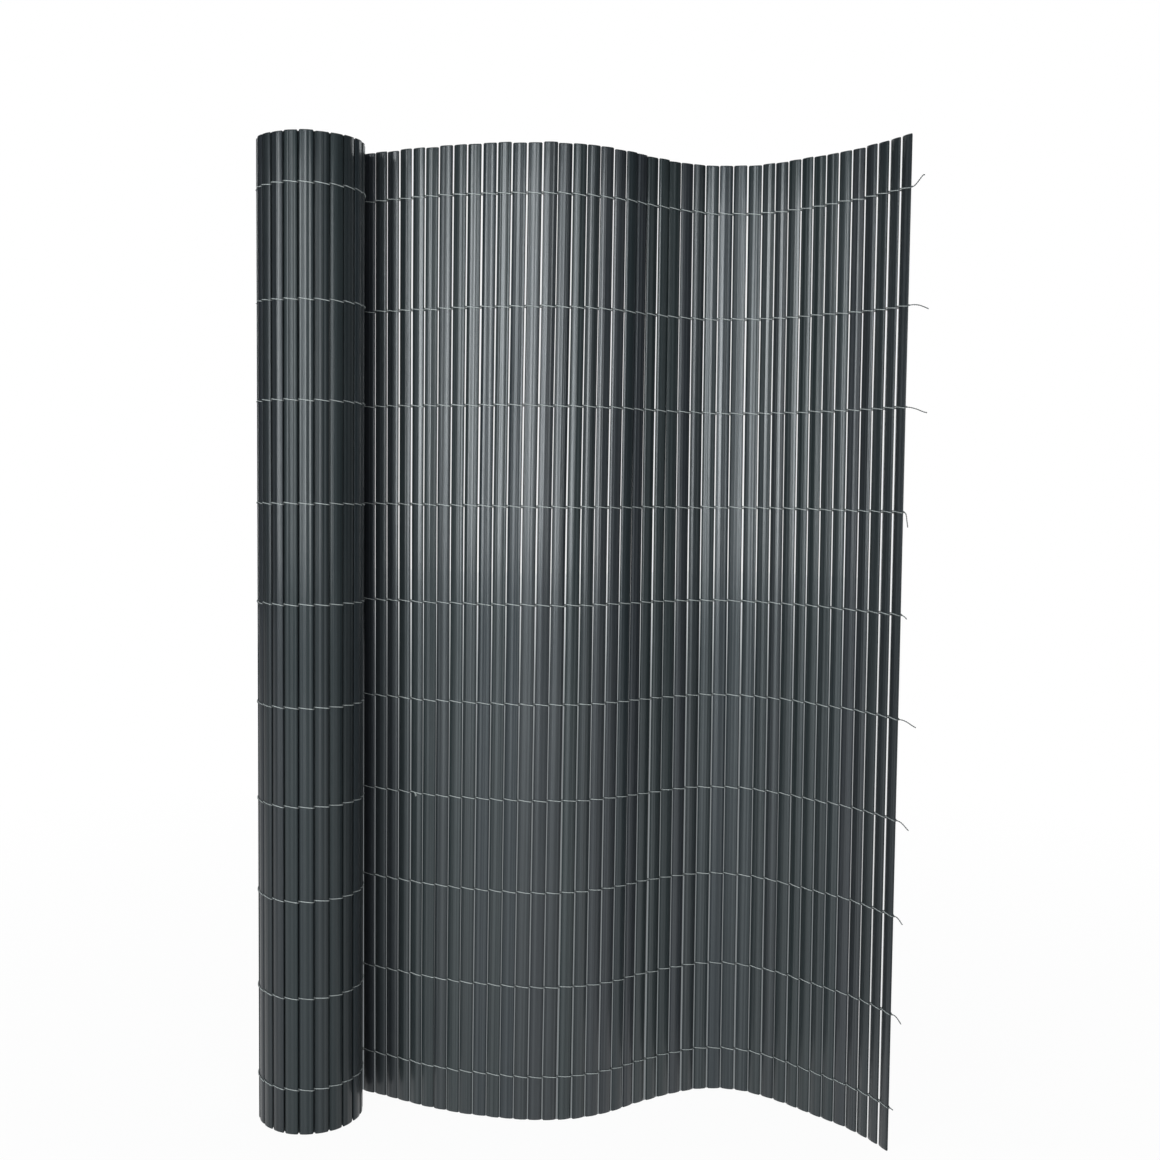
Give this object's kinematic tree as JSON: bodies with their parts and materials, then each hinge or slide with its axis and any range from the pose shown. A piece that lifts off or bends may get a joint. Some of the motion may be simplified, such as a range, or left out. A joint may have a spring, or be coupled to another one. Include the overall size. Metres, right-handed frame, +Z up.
{
  "type": "pvc screening roll",
  "caption": "Partly unrolled privacy screen of hollow grey plastic slats, twined side by side with thin cord and stood on end for fencing or balconies.",
  "frame": {"origin": "centre of the object's box at the level of the floor that the slats' lower ends stand on", "axes": "+Z up along the slats, +X from the roll towards the free end of the open panel, +Y away from the viewer, so that the open panel's front faces -Y"},
  "size_m": [0.6592, 0.149, 1],
  "materials": {
    "slat_pvc": "satin extruded PVC, anthracite grey",
    "binding_cord": "thin grey coated cord"
  },
  "bodies": {
    "root": {"rolled_slats_01": "slat_pvc", "rolled_slats_02": "slat_pvc", "rolled_slats_03": "slat_pvc", "rolled_slats_04": "slat_pvc", "rolled_slats_05": "slat_pvc", "rolled_slats_06": "slat_pvc", "leaving_slats": "slat_pvc", "panel_slat_01": "slat_pvc", "panel_slat_02": "slat_pvc", "panel_slat_03": "slat_pvc", "panel_slat_04": "slat_pvc", "panel_slat_05": "slat_pvc", "panel_slat_06": "slat_pvc", "panel_slat_07": "slat_pvc", "panel_slat_08": "slat_pvc", "panel_slat_09": "slat_pvc", "panel_slat_10": "slat_pvc", "panel_slat_11": "slat_pvc", "panel_slat_12": "slat_pvc", "panel_slat_13": "slat_pvc", "panel_slat_14": "slat_pvc", "panel_slat_15": "slat_pvc", "panel_slat_16": "slat_pvc", "panel_slat_17": "slat_pvc", "panel_slat_18": "slat_pvc", "panel_slat_19": "slat_pvc", "panel_slat_20": "slat_pvc", "panel_slat_21": "slat_pvc", "panel_slat_22": "slat_pvc", "panel_slat_23": "slat_pvc", "panel_slat_24": "slat_pvc", "panel_slat_25": "slat_pvc", "panel_slat_26": "slat_pvc", "panel_slat_27": "slat_pvc", "panel_slat_28": "slat_pvc", "panel_slat_29": "slat_pvc", "panel_slat_30": "slat_pvc", "panel_slat_31": "slat_pvc", "panel_slat_32": "slat_pvc", "panel_slat_33": "slat_pvc", "panel_slat_34": "slat_pvc", "panel_slat_35": "slat_pvc", "panel_slat_36": "slat_pvc", "panel_slat_37": "slat_pvc", "panel_slat_38": "slat_pvc", "panel_slat_39": "slat_pvc", "panel_slat_40": "slat_pvc", "panel_slat_41": "slat_pvc", "binding_cord_01": "binding_cord", "binding_cord_02": "binding_cord", "binding_cord_03": "binding_cord", "binding_cord_04": "binding_cord", "binding_cord_05": "binding_cord", "binding_cord_06": "binding_cord", "binding_cord_07": "binding_cord", "binding_cord_08": "binding_cord", "binding_cord_09": "binding_cord", "binding_cord_10": "binding_cord"}
  },
  "joints": []
}
